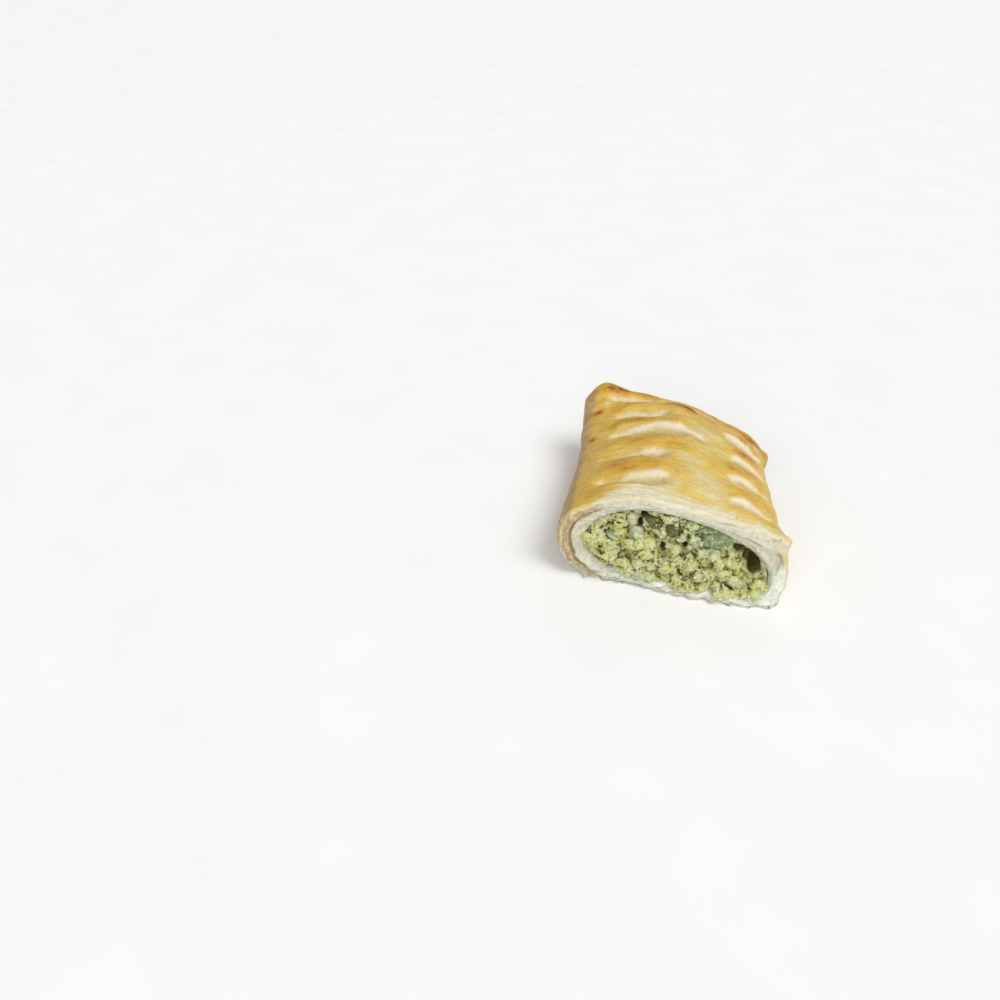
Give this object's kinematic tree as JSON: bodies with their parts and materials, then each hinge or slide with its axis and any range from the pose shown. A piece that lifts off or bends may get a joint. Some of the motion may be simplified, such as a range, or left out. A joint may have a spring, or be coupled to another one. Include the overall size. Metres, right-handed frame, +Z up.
{
  "type": "vegetable strudel",
  "caption": "Half of a baked puff pastry parcel with slits across its domed top, cut open to show a crumbly green vegetable filling.",
  "frame": {"origin": "the middle of the footprint, on the surface that the parcel rests on", "axes": "X across the cut, from the rounded side to the steep side; Y from the cut face to the closed end; Z up"},
  "size_m": [0.0884, 0.0984, 0.0398],
  "materials": {
    "crust": "satin",
    "filling": "matt",
    "vegetable_teal": "moist",
    "vegetable_olive": "moist",
    "vegetable_pale": "moist"
  },
  "bodies": {
    "root": {"crust": "crust", "filling": "filling", "vegetable_piece_1": "vegetable_teal", "vegetable_piece_2": "vegetable_teal", "vegetable_piece_3": "vegetable_olive", "vegetable_piece_4": "vegetable_olive", "vegetable_piece_5": "vegetable_pale", "vegetable_piece_6": "vegetable_pale", "vegetable_piece_7": "vegetable_pale", "vegetable_piece_8": "vegetable_pale"}
  },
  "joints": []
}
